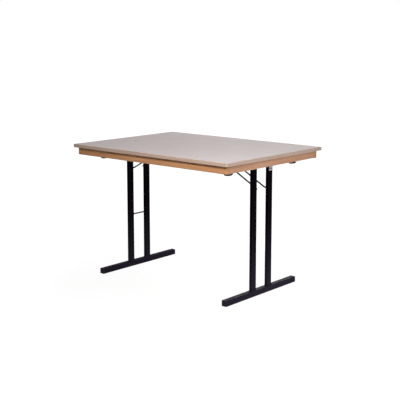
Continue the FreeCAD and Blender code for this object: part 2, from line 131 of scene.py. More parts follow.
class ShaderSheet:
    """Node sheet of one material, with short calls for what the finishes share."""

    # Places of the colour sockets in a Mix node, which also lists those for numbers and vectors.
    MIX_SHARE, MIX_FIRST, MIX_SECOND = 0, 6, 7
    MIX_RESULT = 2

    def __init__(self, name: str) -> None:
        """Start a material that has only its shader.

        Args:
            name: Name of the material.
        """
        self.material = bpy.data.materials.new(name)
        self.material.use_nodes = True
        self.tree = self.material.node_tree
        self.shader = self.tree.nodes["Principled BSDF"]

    def add(self, kind: str, **settings: object) -> bpy.types.Node:
        """Add a node and set its properties.

        Args:
            kind: Blender's name of the node type.
            settings: Properties of the node.

        Returns:
            The new node.
        """
        node = self.tree.nodes.new(kind)
        for key, value in settings.items():
            setattr(node, key, value)
        return node

    def feed(self, value: Value, socket: Socket) -> None:
        """Link a socket to an input, or write a plain value on it.

        Args:
            value: Output socket, number or colour.
            socket: Input that takes it.
        """
        if isinstance(value, bpy.types.NodeSocket):
            self.tree.links.new(value, socket)
        else:
            socket.default_value = value

    def set(self, **inputs: Value) -> None:
        """Feed the shader's inputs.

        Args:
            inputs: Values by the input's name, in lower case with low lines for spaces.
        """
        for key, value in inputs.items():
            wanted = key.replace("_", " ")
            socket = next(s for s in self.shader.inputs if s.name.lower() == wanted)
            self.feed(value, socket)

    def place(self, stretch: Triple = (1.0, 1.0, 1.0)) -> Socket:
        """Object coordinates in metres, squeezed or stretched for a pattern.

        Args:
            stretch: Scale along each axis; a small one draws the pattern out.

        Returns:
            The coordinates.
        """
        source = self.add("ShaderNodeTexCoord")
        mapping = self.add("ShaderNodeMapping")
        mapping.inputs["Scale"].default_value = stretch
        self.feed(source.outputs["Object"], mapping.inputs["Vector"])
        return mapping.outputs["Vector"]

    def axes(self) -> tuple[Socket, Socket, Socket]:
        """Object coordinates as three separate numbers.

        Returns:
            The numbers along X, Y and Z.
        """
        split = self.add("ShaderNodeSeparateXYZ")
        self.feed(self.place(), split.inputs["Vector"])
        return (split.outputs["X"], split.outputs["Y"], split.outputs["Z"])

    def noise(self, place: Socket, size: float, detail: float = 2.0, rough: float = 0.5,
              distortion: float = 0.0) -> Socket:
        """Cloudy pattern.

        Args:
            place: Coordinates.
            size: Size of its clouds in metres.
            detail: Finer layers.
            rough: Weight of the finer layers.
            distortion: How far the clouds are stirred.

        Returns:
            A number from 0 to 1.
        """
        node = self.add("ShaderNodeTexNoise")
        self.feed(place, node.inputs["Vector"])
        node.inputs["Scale"].default_value = 1.0 / size
        node.inputs["Detail"].default_value = detail
        node.inputs["Roughness"].default_value = rough
        node.inputs["Distortion"].default_value = distortion
        return node.outputs["Fac"]

    def cells(self, place: Socket, size: float, output: str = "Distance") -> Socket:
        """Cell pattern.

        Args:
            place: Coordinates.
            size: Size of its cells in metres.
            output: Distance from the cell's middle, or the cell's own Color.

        Returns:
            The distance or the colour.
        """
        node = self.add("ShaderNodeTexVoronoi")
        self.feed(place, node.inputs["Vector"])
        node.inputs["Scale"].default_value = 1.0 / size
        return node.outputs[output]

    def ramp(self, value: Socket, span: Pair, first: Colour, second: Colour) -> Socket:
        """Shade from one colour to another along a number.

        Args:
            value: Number from 0 to 1.
            span: Where the shading starts and ends.
            first: Colour up to its start.
            second: Colour from its end on.

        Returns:
            The colour.
        """
        node = self.add("ShaderNodeValToRGB")
        for element, position, colour in zip(node.color_ramp.elements, span, (first, second)):
            element.position = position
            element.color = colour
        self.feed(value, node.inputs["Fac"])
        return node.outputs["Color"]

    def between(self, value: Socket, result: Pair, span: Pair = (0.0, 1.0)) -> Socket:
        """Stretch a number onto another span, kept inside it.

        Args:
            value: The number.
            result: Results at the start and at the end of the number's span.
            span: Start and end of the number's span.

        Returns:
            The stretched number.
        """
        node = self.add("ShaderNodeMapRange")
        self.feed(value, node.inputs["Value"])
        for key, number in zip(("From Min", "From Max", "To Min", "To Max"), (*span, *result)):
            node.inputs[key].default_value = number
        return node.outputs["Result"]

    def blend(self, share: Value, first: Value, second: Value) -> Socket:
        """Mix two colours.

        Args:
            share: Share of the second colour.
            first: First colour.
            second: Second colour.

        Returns:
            The mixed colour.
        """
        node = self.add("ShaderNodeMix", data_type="RGBA")
        self.feed(share, node.inputs[self.MIX_SHARE])
        self.feed(first, node.inputs[self.MIX_FIRST])
        self.feed(second, node.inputs[self.MIX_SECOND])
        return node.outputs[self.MIX_RESULT]

    def sum(self, operation: str, first: Value, second: Value = 0.0) -> Socket:
        """One step of arithmetic.

        Args:
            operation: Blender's name of it.
            first: First number.
            second: Second number, where it takes one.

        Returns:
            The result.
        """
        node = self.add("ShaderNodeMath", operation=operation)
        self.feed(first, node.inputs[0])
        self.feed(second, node.inputs[1])
        return node.outputs[0]

    def emboss(self, height: Socket, depth: float, strength: float = 1.0) -> None:
        """Give the surface a fine relief.

        Args:
            height: Relief from 0 to 1.
            depth: Its depth in metres.
            strength: How much of it shows.
        """
        node = self.add("ShaderNodeBump")
        node.inputs["Strength"].default_value = strength
        node.inputs["Distance"].default_value = depth
        self.feed(height, node.inputs["Height"])
        self.set(normal=node.outputs["Normal"])


@dataclass(frozen=True)
class LaminateFinish:
    """Matt decor laminate: a warm grey with a fine pepper and a pearl emboss."""

    name: str
    ground: Colour
    pale: Colour
    pepper: Colour
    roughness: Pair
    gloss: float
    cloud_size: float = 90 * MM
    cloud_span: Pair = (0.3, 0.7)
    pepper_size: float = 1.4 * MM
    pepper_span: Pair = (0.2, 0.5)
    pepper_share: float = 0.35
    emboss_size: float = 0.7 * MM
    emboss_depth: float = 0.05 * MM
    emboss_strength: float = 0.35

    def build(self) -> bpy.types.Material:
        """Make the material.

        Returns:
            The material.
        """
        sheet = ShaderSheet(self.name)
        place = sheet.place()
        clouds = sheet.noise(place, self.cloud_size, detail=3.0)
        ground = sheet.ramp(clouds, self.cloud_span, self.ground, self.pale)
        grains = sheet.noise(place, self.pepper_size, detail=1.0, rough=0.7)
        mask = sheet.between(grains, (self.pepper_share, 0.0), self.pepper_span)
        sheet.set(base_color=sheet.blend(mask, ground, self.pepper))
        pearl = sheet.noise(place, self.emboss_size, detail=1.0)
        sheet.set(roughness=sheet.between(pearl, self.roughness), specular_ior_level=self.gloss)
        sheet.emboss(pearl, self.emboss_depth, self.emboss_strength)
        return sheet.material


@dataclass(frozen=True)
class WoodFinish:
    """Lacquered close-grained wood with bands, fibres, short flecks and sawn ends."""

    name: str
    light: Colour
    dark: Colour
    fleck: Colour
    end_wood: Colour
    grain: Grain
    sawn_end: float
    gloss: float = 0.1
    roughness: Pair = (0.4, 0.55)
    lacquer: float = 0.03
    lacquer_roughness: float = 0.3
    draw_out: float = 0.045
    band_size: float = 16 * MM
    band_span: Pair = (0.3, 0.72)
    fibre_size: float = 1.1 * MM
    fibre_span: Pair = (0.45, 0.75)
    fibre_share: float = 0.55
    fleck_size: float = 2.4 * MM
    fleck_span: Pair = (0.1, 0.2)
    fleck_share: float = 0.5
    ring_size: float = 2.2 * MM
    ring_span: Pair = (0.3, 0.75)
    pore_depth: float = 0.06 * MM
    pore_strength: float = 0.4
    mitre: Optional[float] = None
    mitre_half_width: float = 0.3 * MM

    def build(self) -> bpy.types.Material:
        """Make the material.

        Returns:
            The material.
        """
        sheet = ShaderSheet(self.name)
        stretch = [1.0, 1.0, 1.0]
        stretch[self.grain.value] = self.draw_out
        along = sheet.place(tuple(stretch))
        bands = sheet.noise(along, self.band_size, detail=4.0, rough=0.6, distortion=0.4)
        fibres = sheet.noise(along, self.fibre_size, detail=2.0, rough=0.65)
        colour = sheet.ramp(bands, self.band_span, self.light, self.dark)
        fibre_tone = sheet.between(fibres, (0.0, self.fibre_share), self.fibre_span)
        colour = sheet.blend(fibre_tone, colour, self.dark)
        flecks = sheet.cells(along, self.fleck_size)
        fleck_tone = sheet.between(flecks, (self.fleck_share, 0.0), self.fleck_span)
        colour = sheet.blend(fleck_tone, colour, self.fleck)
        colour = self.add_sawn_ends(sheet, colour)
        if self.mitre is not None:
            colour = self.add_mitre_line(sheet, colour, self.mitre)
        sheet.set(base_color=colour, specular_ior_level=self.gloss, coat_weight=self.lacquer,
                  coat_roughness=self.lacquer_roughness,
                  roughness=sheet.between(fibres, self.roughness))
        sheet.emboss(fibres, self.pore_depth, self.pore_strength)
        return sheet.material

    def add_sawn_ends(self, sheet: ShaderSheet, colour: Socket) -> Socket:
        """Darker end wood with growth rings on the sawn end faces.

        Args:
            sheet: The material's sheet.
            colour: Colour of the long faces.

        Returns:
            The colour of both.
        """
        place = sheet.place()
        rings = sheet.noise(place, self.ring_size, detail=3.0, rough=0.7, distortion=1.5)
        end_colour = sheet.ramp(rings, self.ring_span, self.end_wood, self.dark)
        run = sheet.sum("ABSOLUTE", sheet.axes()[self.grain.value])
        at_end = sheet.sum("GREATER_THAN", run, self.sawn_end)
        return sheet.blend(at_end, colour, end_colour)

    def add_mitre_line(self, sheet: ShaderSheet, colour: Socket, offset: float) -> Socket:
        """Hairline of the glued mitres at the plate's corners.

        Args:
            sheet: The material's sheet.
            colour: Colour of the strips.
            offset: How much further out along X than along Y the mitre lies.

        Returns:
            The colour with the hairline.
        """
        x, y, _ = sheet.axes()
        apart = sheet.sum("SUBTRACT", sheet.sum("ABSOLUTE", x), sheet.sum("ABSOLUTE", y))
        away = sheet.sum("ABSOLUTE", sheet.sum("SUBTRACT", apart, offset))
        in_line = sheet.sum("LESS_THAN", away, self.mitre_half_width)
        return sheet.blend(in_line, colour, self.fleck)


@dataclass(frozen=True)
class CoatedFinish:
    """Powder coat or moulded plastic: a dark tone, painted paler near the floor as light bounced up from it,
    with a fine skin.
    """

    name: str
    tone: Colour
    rubbed: Colour
    painted_floor_light: Colour
    roughness: Pair
    gloss: float
    skin_size: float
    skin_depth: float
    skin_strength: float = 0.5
    rub_size: float = 35 * MM
    rub_span: Pair = (0.55, 0.8)
    rub_share: float = 0.5
    polish_span: Pair = (0.3, 0.7)
    painted_light_height: float = 550 * MM
    painted_light_power: float = 2.4

    def build(self) -> bpy.types.Material:
        """Make the material.

        Returns:
            The material.
        """
        sheet = ShaderSheet(self.name)
        place = sheet.place()
        rubs = sheet.noise(place, self.rub_size, detail=6.0, rough=0.7)
        mask = sheet.between(rubs, (0.0, self.rub_share), self.rub_span)
        # Painted light: the tone fades to a paler colour towards the floor, standing in for light bounced up
        # from the floor.
        painted_light_share = sheet.between(sheet.axes()[2], (1.0, 0.0), (0.0, self.painted_light_height))
        tone = sheet.blend(sheet.sum("POWER", painted_light_share, self.painted_light_power), self.tone, self.painted_floor_light)
        skin = sheet.noise(place, self.skin_size, detail=2.0)
        sheet.set(base_color=sheet.blend(mask, tone, self.rubbed), specular_ior_level=self.gloss,
                  roughness=sheet.between(rubs, self.roughness, self.polish_span))
        sheet.emboss(skin, self.skin_depth, self.skin_strength)
        return sheet.material


@dataclass(frozen=True)
class MetalFinish:
    """Bare or plated steel: cloudy plating, drawn lines and a few dull spots."""

    name: str
    bright: Colour
    dull: Colour
    roughness: Pair
    cloud_size: float = 7 * MM
    cloud_span: Pair = (0.3, 0.65)
    line_size: float = 0.5 * MM
    line_draw: float = 0.05
    line_depth: float = 0.02 * MM
    line_strength: float = 0.3

    def build(self) -> bpy.types.Material:
        """Make the material.

        Returns:
            The material.
        """
        sheet = ShaderSheet(self.name)
        clouds = sheet.noise(sheet.place(), self.cloud_size, detail=3.0, rough=0.6)
        lines = sheet.noise(sheet.place((1.0, 1.0, self.line_draw)), self.line_size, detail=1.0)
        sheet.set(base_color=sheet.ramp(clouds, self.cloud_span, self.dull, self.bright), metallic=1.0,
                  roughness=sheet.between(clouds, self.roughness[::-1]))
        sheet.emboss(lines, self.line_depth, self.line_strength)
        return sheet.material


@dataclass(frozen=True)
class ChipboardFinish:
    """Pressed wood chips of the plate's core."""

    name: str
    light: Colour
    dark: Colour
    roughness: float = 0.8
    chip_size: float = 4 * MM
    chip_span: Pair = (0.1, 0.8)
    chip_draw: float = 0.4
    chip_depth: float = 0.2 * MM

    def build(self) -> bpy.types.Material:
        """Make the material.

        Returns:
            The material.
        """
        sheet = ShaderSheet(self.name)
        place = sheet.place((self.chip_draw, 1.0, 1.0))
        chips = sheet.cells(place, self.chip_size, output="Color")
        colour = sheet.ramp(chips, self.chip_span, self.dark, self.light)
        sheet.set(base_color=colour, roughness=self.roughness)
        sheet.emboss(sheet.cells(place, self.chip_size), self.chip_depth)
        return sheet.material


class Finishes:
    """All the finishes of the table, each made once."""

    # Depth behind a sawn face that still takes the colour of end wood.
    saw_margin: float = 0.05 * MM

    def __init__(self, half_length: float, half_width: float, rail_end: float) -> None:
        """Make every material.

        Args:
            half_length: Half the plate's length.
            half_width: Half the plate's width.
            rail_end: Where the long rails are sawn off, from the middle.
        """
        mitre = half_length - half_width
        taupe = dict(fleck=display_colour(112, 83, 64), end_wood=display_colour(148, 120, 102),
                     fleck_share=0.35, mitre=mitre, gloss=0.15, pore_depth=0.03 * MM)
        beech = dict(fleck=display_colour(120, 73, 44), end_wood=display_colour(178, 138, 108))
        self.top = LaminateFinish(
            "grey_laminate", ground=display_colour(181, 170, 169), pale=display_colour(187, 176, 175),
            pepper=display_colour(153, 140, 137), roughness=(0.45, 0.6), gloss=0.2).build()
        self.backing = LaminateFinish(
            "backing_sheet", ground=display_colour(150, 133, 116), pale=display_colour(162, 145, 128),
            pepper=display_colour(118, 102, 88), roughness=(0.55, 0.7), gloss=0.3,
            pepper_size=3.0 * MM).build()
        self.core = ChipboardFinish(
            "chipboard", light=display_colour(206, 178, 138), dark=display_colour(146, 112, 74)).build()
        # The strips along X and along Y get different tones: painted light and shade, matching how the lamps
        # fall on the plate's long sides and on its ends.
        self.lipping = {
            Grain.ALONG_X: WoodFinish(
                "edge_wood_along_x", light=display_colour(198, 175, 160), dark=display_colour(174, 146, 127),
                grain=Grain.ALONG_X, sawn_end=half_length, **taupe).build(),
            Grain.ALONG_Y: WoodFinish(
                "edge_wood_along_y", light=display_colour(188, 167, 156), dark=display_colour(165, 140, 126),
                grain=Grain.ALONG_Y, sawn_end=half_width, **taupe).build()}
        # The rails along Y get a greyer, less saturated tone than those along X: painted light, matching how
        # the lamps fall on the frame's ends.
        self.beech = {
            Grain.ALONG_X: WoodFinish(
                "beech_along_x", light=display_colour(198, 147, 107), dark=display_colour(176, 124, 84),
                grain=Grain.ALONG_X, sawn_end=rail_end - self.saw_margin, **beech).build(),
            Grain.ALONG_Y: WoodFinish(
                "beech_along_y", light=display_colour(191, 149, 123), dark=display_colour(170, 127, 99),
                grain=Grain.ALONG_Y, sawn_end=half_width, **beech).build()}
        # The paler colour of these coats near the floor is painted floor-bounce light.
        self.steel = CoatedFinish(
            "black_powder_coat", tone=display_colour(4, 0, 6), rubbed=display_colour(15, 12, 18),
            painted_floor_light=display_colour(34, 30, 41), roughness=(0.45, 0.58), gloss=0.009,
            skin_size=1.3 * MM, skin_depth=0.05 * MM, rub_share=0.2).build()
        self.wire = CoatedFinish(
            "black_wire_coat", tone=display_colour(8, 6, 8), rubbed=display_colour(24, 21, 24),
            painted_floor_light=display_colour(16, 13, 16), roughness=(0.45, 0.58), gloss=0.02,
            skin_size=1.0 * MM, skin_depth=0.03 * MM, rub_size=14 * MM).build()
        self.plastic = CoatedFinish(
            "black_moulded_plastic", tone=display_colour(16, 13, 15), rubbed=display_colour(30, 27, 29),
            painted_floor_light=display_colour(40, 37, 46), roughness=(0.55, 0.68), gloss=0.04,
            skin_size=0.5 * MM, skin_depth=0.06 * MM).build()
        self.zinc = MetalFinish(
            "bright_zinc", bright=display_colour(170, 165, 170), dull=display_colour(132, 127, 133),
            roughness=(0.24, 0.42)).build()
        self.spring = MetalFinish(
            "oiled_spring_steel", bright=display_colour(128, 124, 122), dull=display_colour(82, 78, 78),
            roughness=(0.3, 0.5)).build()


def dress(material: bpy.types.Material, *nodes: str) -> None:
    """Give CAD nodes their finish.

    Args:
        material: The finish.
        nodes: Names of the nodes.
    """
    for name in nodes:
        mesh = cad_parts[name].data
        mesh.materials.clear()
        mesh.materials.append(material)
        LOG.info("dressed %s in %s", name, material.name)


def solid_boxes(node: str) -> list[tuple[Vector, Vector]]:
    """Boxes of the separate solids in one CAD node.

    Args:
        node: Name of the node.

    Returns:
        Lowest and highest corner of each solid, in a steady order.
    """
    shape = bmesh.new()
    shape.from_mesh(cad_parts[node].data)
    bmesh.ops.remove_doubles(shape, verts=shape.verts, dist=TINY)
    waiting = set(shape.verts)
    boxes = []
    for start in list(shape.verts):
        if start not in waiting:
            continue
        waiting.discard(start)
        to_visit, members = [start], []
        while to_visit:
            vertex = to_visit.pop()
            members.append(vertex.co.copy())
            for edge in vertex.link_edges:
                other = edge.other_vert(vertex)
                if other in waiting:
                    waiting.discard(other)
                    to_visit.append(other)
        low = Vector(min(place[k] for place in members) for k in range(3))
        high = Vector(max(place[k] for place in members) for k in range(3))
        boxes.append((low, high))
    shape.free()
    return sorted(boxes, key=lambda box: tuple(round(c, SORT_DIGITS) for c in box[0]))


def is_level(edge: bmesh.types.BMEdge) -> bool:
    """Whether both ends of an edge are at the same height."""
    return abs(edge.verts[0].co.z - edge.verts[1].co.z) < TINY


def spin_outline(shape: bmesh.types.BMesh, outline: list[Vector], centre: Vector, axis: Triple,
                 steps: int, closed: bool) -> None:
    """Turn an outline once round an axis.

    Args:
        shape: Mesh that the round form is added to.
        outline: Corners of the outline, in order.
        centre: A point of the axis.
        axis: Direction of the axis.
        steps: Faces round the form.
        closed: Whether the last corner is joined to the first.
    """
    points = [shape.verts.new(corner) for corner in outline]
    following = points[1:] + points[:1] if closed else points[1:]
    edges = [shape.edges.new(pair) for pair in zip(points, following)]
    bmesh.ops.spin(shape, geom=points + edges, cent=centre, axis=axis, angle=math.tau, steps=steps,
                   use_merge=True)


@dataclass
class Piece:
    """A finished mesh with what the frame has to know of it."""

    name: str
    body: str
    slot: str
    material: bpy.types.Material
    stands_for: tuple[str, ...] = ()
    smooth_below: float = math.radians(40.0)

    def place(self, shape: bmesh.types.BMesh) -> None:
        """Turn a mesh in the table's frame into a piece that rides on its body.

        Args:
            shape: The mesh, which is freed.
        """
        bmesh.ops.recalc_face_normals(shape, faces=shape.faces)
        mesh = bpy.data.meshes.new(self.name)
        shape.to_mesh(mesh)
        shape.free()
        mesh.polygons.foreach_set("use_smooth", [True] * len(mesh.polygons))
        mesh.set_sharp_from_angle(angle=self.smooth_below)
        mesh.materials.append(self.material)
        piece = bpy.data.objects.new(self.name, mesh)
        bpy.context.scene.collection.objects.link(piece)
        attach(piece, self.body)
        if self.stands_for:
            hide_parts(*self.stands_for)
        LOG.info("built %s with %d faces", self.name, len(mesh.polygons))


@dataclass
class ScrewSet:
    """Pan-head screws with a cross recess, standing for the plain ones of a CAD node."""

    node: str
    body: str
    material: bpy.types.Material
    slot: str = "zinc_steel"
    steps: int = 20
    head_share: float = 0.63
    rim_share: float = 0.3
    crown_share: float = 0.62
    crown_steps: int = 3
    shank_share: float = 0.525
    tip_share: float = 0.2
    arm_half_width: float = 0.42 * MM
    arm_length: float = 1.75 * MM
    recess_depth: float = 1.1 * MM
    recess_taper: float = 0.6
    turn_step: float = math.radians(137.5)

    def build(self) -> None:
        """Make all the screws of the set as one piece."""
        shape = bmesh.new()
        for index, (low, high) in enumerate(solid_boxes(self.node)):
            self.add_screw(shape, low, high, index * self.turn_step)
        Piece(self.node + "_recessed", self.body, self.slot, self.material, (self.node,)).place(shape)

    def add_screw(self, shape: bmesh.types.BMesh, low: Vector, high: Vector, turn: float) -> None:
        """Add one screw where the CAD has its plain one.

        Args:
            shape: Mesh that it is added to.
            low: Lowest corner of the plain screw.
            high: Highest corner of the plain screw.
            turn: Turn of the recess.
        """
        size = high - low
        axis = max(range(3), key=lambda k: size[k])
        others = [k for k in range(3) if k != axis]
        head_radius = size[others[0]] / 2.0
        middle = (low + high) / 2.0
        out = Vector((0.0, 0.0, 0.0))
        # Upright screws are driven in from below, and level ones from the table's outside.
        out[axis] = -1.0 if axis == 2 else math.copysign(1.0, middle[axis])
        crown = middle + out * (size[axis] / 2.0)
        made = self.screw_mesh(head_radius, size[axis])
        spin = Matrix.Rotation(turn, 4, "Z")
        aim = out.to_track_quat("Z", "Y").to_matrix().to_4x4()
        bmesh.ops.transform(made, matrix=Matrix.Translation(crown) @ aim @ spin, verts=made.verts)
        mesh = bpy.data.meshes.new("screw")
        made.to_mesh(mesh)
        made.free()
        shape.from_mesh(mesh)
        bpy.data.meshes.remove(mesh)

    def screw_mesh(self, head_radius: float, length: float) -> bmesh.types.BMesh:
        """One screw on the Z axis with its crown at the origin and its tip below.

        Args:
            head_radius: Radius of the head.
            length: Length over all.

        Returns:
            The screw's mesh.
        """
        head_height = self.head_share * head_radius
        shank = self.shank_share * head_radius
        crown = self.crown_share * head_radius
        rim = head_height * (1.0 - self.rim_share)
        outline = [(crown, 0.0)]
        for step in range(1, self.crown_steps + 1):
            turn = math.pi / 2.0 * step / self.crown_steps
            radius = crown + (head_radius - crown) * math.sin(turn)
            outline.append((radius, -rim * (1.0 - math.cos(turn))))
        outline += [(head_radius, -head_height), (shank, -head_height), (shank, -length + shank),
                    (shank * self.tip_share, -length)]
        shape = bmesh.new()
        corners = [Vector((radius, 0.0, height)) for radius, height in outline]
        spin_outline(shape, corners, Vector(), (0.0, 0.0, 1.0), self.steps, closed=False)
        tip = [edge for edge in shape.edges if edge.is_boundary
               and all(abs(vertex.co.z + length) < TINY for vertex in edge.verts)]
        bmesh.ops.edgeloop_fill(shape, edges=tip)
        self.cut_recess(shape)
        return shape

    def cut_recess(self, shape: bmesh.types.BMesh) -> None:
        """Fill the crown round a cross and sink the cross into the head.

        Args:
            shape: The screw's mesh, open at its crown.
        """
        rim = [edge for edge in shape.edges if edge.is_boundary]
        corners = []
        for quarter in range(4):
            turn = Matrix.Rotation(quarter * math.pi / 2.0, 3, "Z")
            for x, y in ((self.arm_length, -self.arm_half_width),
                         (self.arm_length, self.arm_half_width),
                         (self.arm_half_width, self.arm_half_width)):
                corners.append(shape.verts.new(turn @ Vector((x, y, 0.0))))
        cross = [shape.edges.new(pair) for pair in zip(corners, corners[1:] + corners[:1])]
        bmesh.ops.triangle_fill(shape, use_beauty=True, edges=rim + cross)
        made = bmesh.ops.extrude_edge_only(shape, edges=cross)["geom"]
        sunk = [item for item in made if isinstance(item, bmesh.types.BMVert)]
        bmesh.ops.scale(shape, vec=(self.recess_taper, self.recess_taper, 1.0), verts=sunk)
        bmesh.ops.translate(shape, vec=(0.0, 0.0, -self.recess_depth), verts=sunk)
        floor = [item for item in made if isinstance(item, bmesh.types.BMEdge) and item.is_boundary]
        bmesh.ops.edgeloop_fill(shape, edges=floor)


@dataclass
class TablePlate:
    """The plate: a chipboard core between two sheets, with a mitred wooden edge."""

    finishes: Finishes
    corner_radius: float = 10 * MM
    corner_steps: int = 12
    rim_radius: float = 2.5 * MM
    rim_steps: int = 8
    flat_below: float = math.radians(3.0)

    def build(self) -> None:
        """Dress the sheets and the core, and make the wooden edge."""
        dress(self.finishes.top, "top_laminate")
        dress(self.finishes.backing, "backing_laminate")
        dress(self.finishes.core, "core_panel")
        for edge in PlateEdge:
            self.build_strip(edge)

    def build_strip(self, edge: PlateEdge) -> None:
        """Make one strip of the wooden edge, cut from the outline of the whole plate.

        Args:
            edge: Side of the plate that the strip closes.
        """
        node = "edge_lipping_" + edge.name.lower()
        low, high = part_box(node)
        half = CAD_BOX[1]
        out = Vector(edge.value)
        run = Vector((abs(out.y), abs(out.x), 0.0))
        face = Vector((out.x * half.x, out.y * half.y, 0.0))
        width = min(high.x - low.x, high.y - low.y)
        shape = self.rounded_plate(low.z, high.z)
        self.trim(shape, face - out * width, -out)
        for sign in (-1.0, 1.0):
            corner = face + sign * Vector((run.x * half.x, run.y * half.y, 0.0))
            self.trim(shape, corner, sign * run - out)
        grain = Grain.ALONG_X if out.x == 0.0 else Grain.ALONG_Y
        Piece(node + "_strip", "top", "edge_wood", self.finishes.lipping[grain], (node,),
              smooth_below=self.flat_below).place(shape)

    def rounded_plate(self, bottom: float, top: float) -> bmesh.types.BMesh:
        """The plate's whole outline with rounded corners and softened rims.

        Args:
            bottom: Height of its underside.
            top: Height of its upper face.

        Returns:
            The plate's mesh.
        """
        shape = bmesh.new()
        size = CAD_BOX[1] - CAD_BOX[0]
        bmesh.ops.create_cube(shape, size=1.0)
        bmesh.ops.scale(shape, vec=(size.x, size.y, top - bottom), verts=shape.verts)
        bmesh.ops.translate(shape, vec=(0.0, 0.0, (bottom + top) / 2.0), verts=shape.verts)
        self.soften(shape, lambda edge: not is_level(edge), self.corner_radius, self.corner_steps)
        self.soften(shape, is_level, self.rim_radius, self.rim_steps)
        return shape

    def soften(self, shape: bmesh.types.BMesh, wanted: Callable[[bmesh.types.BMEdge], bool],
               radius: float, steps: int) -> None:
        """Round off some edges of a mesh.

        Args:
            shape: The mesh.
            wanted: True for the edges to round.
            radius: Radius of the rounding.
            steps: Faces across it.
        """
        edges = [edge for edge in shape.edges if wanted(edge)]
        bmesh.ops.bevel(shape, geom=edges, offset=radius, segments=steps, profile=0.5,
                        affect="EDGES", material=-1)

    def trim(self, shape: bmesh.types.BMesh, point: Vector, away: Vector) -> None:
        """Cut off what lies beyond a plane and close the cut.

        Args:
            shape: The mesh.
            point: A point of the plane.
            away: Direction of the part that goes.
        """
        everything = [*shape.verts, *shape.edges, *shape.faces]
        cut = bmesh.ops.bisect_plane(shape, geom=everything, dist=TINY, plane_co=point,
                                     plane_no=away.normalized(), clear_outer=True)["geom_cut"]
        rim = [item for item in cut if isinstance(item, bmesh.types.BMEdge)]
        bmesh.ops.edgeloop_fill(shape, edges=rim)


@dataclass
class BeechFrame:
    """The rails under the plate with their corner blocks and dowels."""

    finishes: Finishes

    def build(self) -> None:
        """Dress the frame's pieces."""
        along_x = self.finishes.beech[Grain.ALONG_X]
        along_y = self.finishes.beech[Grain.ALONG_Y]
        dress(along_x, "frame_rail_front", "frame_rail_back", "frame_corner_blocks")
        dress(along_y, "frame_rail_left", "frame_rail_right", "frame_dowels")


@dataclass
class BearingSet:
    """Moulded bearing blocks of both legs with their screws."""

    finishes: Finishes

    def build(self) -> None:
        """Dress the blocks and make their screws."""
        for side in Side:
            dress(self.finishes.plastic, side.value + "_front_bearing", side.value + "_back_bearing")
        ScrewSet("bearing_screws", "top", self.finishes.zinc).build()


@dataclass
class StrutMounts:
    """Hangers and spring clips that hold the struts under the plate."""

    finishes: Finishes

    def build(self) -> None:
        """Dress hangers, clips and rivets, and make the hangers' screws."""
        for side in Side:
            dress(self.finishes.zinc, side.value + "_strut_hanger")
            dress(self.finishes.spring, side.value + "_strut_clip")
        dress(self.finishes.zinc, "clip_rivets")
        ScrewSet("hanger_screws", "top", self.finishes.zinc).build()


